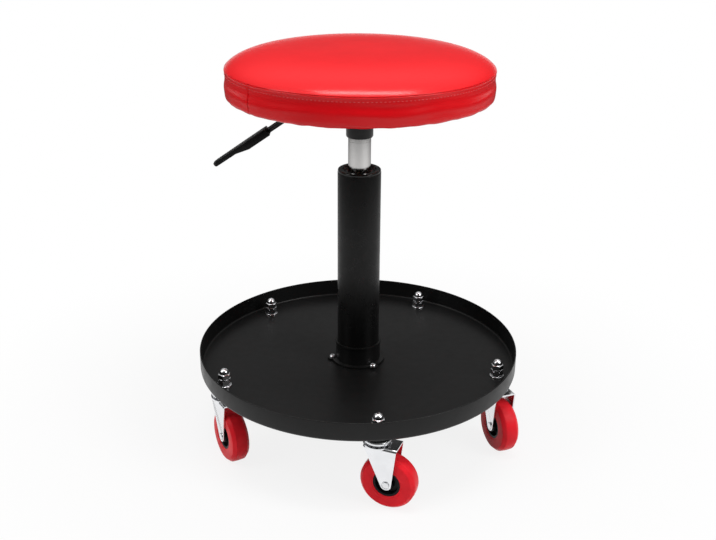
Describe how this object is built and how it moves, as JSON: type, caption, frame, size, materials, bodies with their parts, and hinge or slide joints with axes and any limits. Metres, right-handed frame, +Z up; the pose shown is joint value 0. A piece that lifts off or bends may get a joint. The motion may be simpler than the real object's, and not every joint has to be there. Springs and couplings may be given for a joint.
{
  "type": "creeper seat",
  "caption": "Round padded work seat on a height-adjustable gas lift and column, with a round tool tray and swivel casters.",
  "frame": {"origin": "on the column's axis at floor level, under the middle of the tray", "axes": "+Z up; the release lever points along -X; the seat's stitched front faces -Y"},
  "size_m": [0.3829, 0.3908, 0.4684],
  "materials": {
    "red_vinyl": "semi-gloss embossed vinyl",
    "foam": "open foam",
    "plywood": "raw plywood",
    "column_paint": "satin black paint",
    "tray_paint": "satin black powder coat",
    "bush_plastic": "glossy black plastic",
    "lever_plastic": "black moulded plastic",
    "core_plastic": "black moulded plastic",
    "red_tread": "smooth red polyurethane",
    "black_rubber": "black rubber",
    "white_nylon": "white nylon",
    "zinc_fork": "bright zinc plate",
    "zinc": "bright zinc plate",
    "bright_screw": "nickel plate",
    "cap_chrome": "polished chrome",
    "cylinder_steel": "ground steel",
    "plain_steel": "plain steel",
    "brass_valve": "turned brass"
  },
  "bodies": {
    "base": {"tray": "tray_paint", "column_socket": "tray_paint", "socket_screws": "bright_screw", "socket_nuts": "zinc", "column_tube": "column_paint", "column_floor": "plain_steel", "column_bush": "bush_plastic", "lower_race": "plain_steel", "caster_stems": "zinc", "stem_washers": "white_nylon", "race_cups": "zinc", "caster_balls": "plain_steel", "spacer_nuts": "zinc", "flat_washers": "bright_screw", "hex_nuts": "bright_screw", "lock_washers": "bright_screw", "cap_nuts": "cap_chrome"},
    "lift_rod": {"piston_rod": "plain_steel", "piston": "plain_steel", "rod_clip": "plain_steel", "upper_race": "plain_steel", "thrust_balls": "plain_steel", "bumper": "black_rubber"},
    "seat": {"gas_cylinder": "cylinder_steel", "rod_gland": "lever_plastic", "valve_body": "brass_valve", "taper_hub": "column_paint", "seat_plate": "column_paint", "plate_bolts": "zinc", "plate_washers": "zinc", "board_tnuts": "zinc", "seat_board": "plywood", "seat_foam": "foam", "seat_cover": "red_vinyl", "cover_staples": "zinc", "lever_bracket": "column_paint", "pivot_pin": "zinc"},
    "valve": {"valve_pin": "plain_steel"},
    "lever": {"lever_rod": "column_paint", "lever_grip": "lever_plastic"},
    "caster_1": {"fork_1": "zinc_fork", "axle_1": "zinc"},
    "wheel_1": {"wheel_core_1": "core_plastic", "wheel_tread_1": "red_tread"},
    "caster_2": {"fork_2": "zinc_fork", "axle_2": "zinc"},
    "wheel_2": {"wheel_core_2": "core_plastic", "wheel_tread_2": "red_tread"},
    "caster_3": {"fork_3": "zinc_fork", "axle_3": "zinc"},
    "wheel_3": {"wheel_core_3": "core_plastic", "wheel_tread_3": "red_tread"},
    "caster_4": {"fork_4": "zinc_fork", "axle_4": "zinc"},
    "wheel_4": {"wheel_core_4": "core_plastic", "wheel_tread_4": "red_tread"},
    "caster_5": {"fork_5": "zinc_fork", "axle_5": "zinc"},
    "wheel_5": {"wheel_core_5": "core_plastic", "wheel_tread_5": "red_tread"}
  },
  "joints": [
    {"name": "seat_swivel", "type": "hinge", "parent": "base", "child": "lift_rod", "pos_m": [0, 0, 0.329], "axis": [0, 0, 1], "continuous": true},
    {"name": "seat_lift", "type": "slide", "parent": "lift_rod", "child": "seat", "axis": [0, 0, 1], "range_m": [-0.025, 0.09]},
    {"name": "lever_lift", "type": "hinge", "parent": "seat", "child": "lever", "pos_m": [-0.022, 0, 0.402], "axis": [0, 1, 0], "range_deg": [0, 10], "stiffness_Nm_per_rad": 3, "springref_deg": -5.73},
    {"name": "valve_press", "type": "slide", "parent": "seat", "child": "valve", "axis": [0, 0, -1], "range_m": [0, 0.004]},
    {"name": "caster_1_swivel", "type": "hinge", "parent": "base", "child": "caster_1", "pos_m": [0.08159, 0.15028, 0.0752], "axis": [0, 0, 1], "continuous": true},
    {"name": "wheel_1_roll", "type": "hinge", "parent": "caster_1", "child": "wheel_1", "pos_m": [0.07797, 0.1638, 0.032], "axis": [-0.9659, -0.2588, 0], "continuous": true},
    {"name": "caster_2_swivel", "type": "hinge", "parent": "base", "child": "caster_2", "pos_m": [-0.11662, 0.12506, 0.0752], "axis": [0, 0, 1], "continuous": true},
    {"name": "wheel_2_roll", "type": "hinge", "parent": "caster_2", "child": "wheel_2", "pos_m": [-0.12875, 0.13206, 0.032], "axis": [-0.5, -0.866, 0], "continuous": true},
    {"name": "caster_3_swivel", "type": "hinge", "parent": "base", "child": "caster_3", "pos_m": [-0.15498, -0.07227, 0.0752], "axis": [0, 0, 1], "continuous": true},
    {"name": "wheel_3_roll", "type": "hinge", "parent": "caster_3", "child": "wheel_3", "pos_m": [-0.14798, -0.08439, 0.032], "axis": [0.866, 0.5, 0], "continuous": true},
    {"name": "caster_4_swivel", "type": "hinge", "parent": "base", "child": "caster_4", "pos_m": [0.02232, -0.16954, 0.0752], "axis": [0, 0, 1], "continuous": true},
    {"name": "wheel_4_roll", "type": "hinge", "parent": "caster_4", "child": "wheel_4", "pos_m": [0.03539, -0.17455, 0.032], "axis": [0.3584, 0.9336, 0], "continuous": true},
    {"name": "caster_5_swivel", "type": "hinge", "parent": "base", "child": "caster_5", "pos_m": [0.16517, -0.04426, 0.0752], "axis": [0, 0, 1], "continuous": true},
    {"name": "wheel_5_roll", "type": "hinge", "parent": "caster_5", "child": "wheel_5", "pos_m": [0.17019, -0.05733, 0.032], "axis": [0.9336, 0.3584, 0], "continuous": true}
  ],
  "couplings": [
    {"joint": "valve_press", "follows": "lever_lift", "m_per_rad": 0.0225}
  ]
}
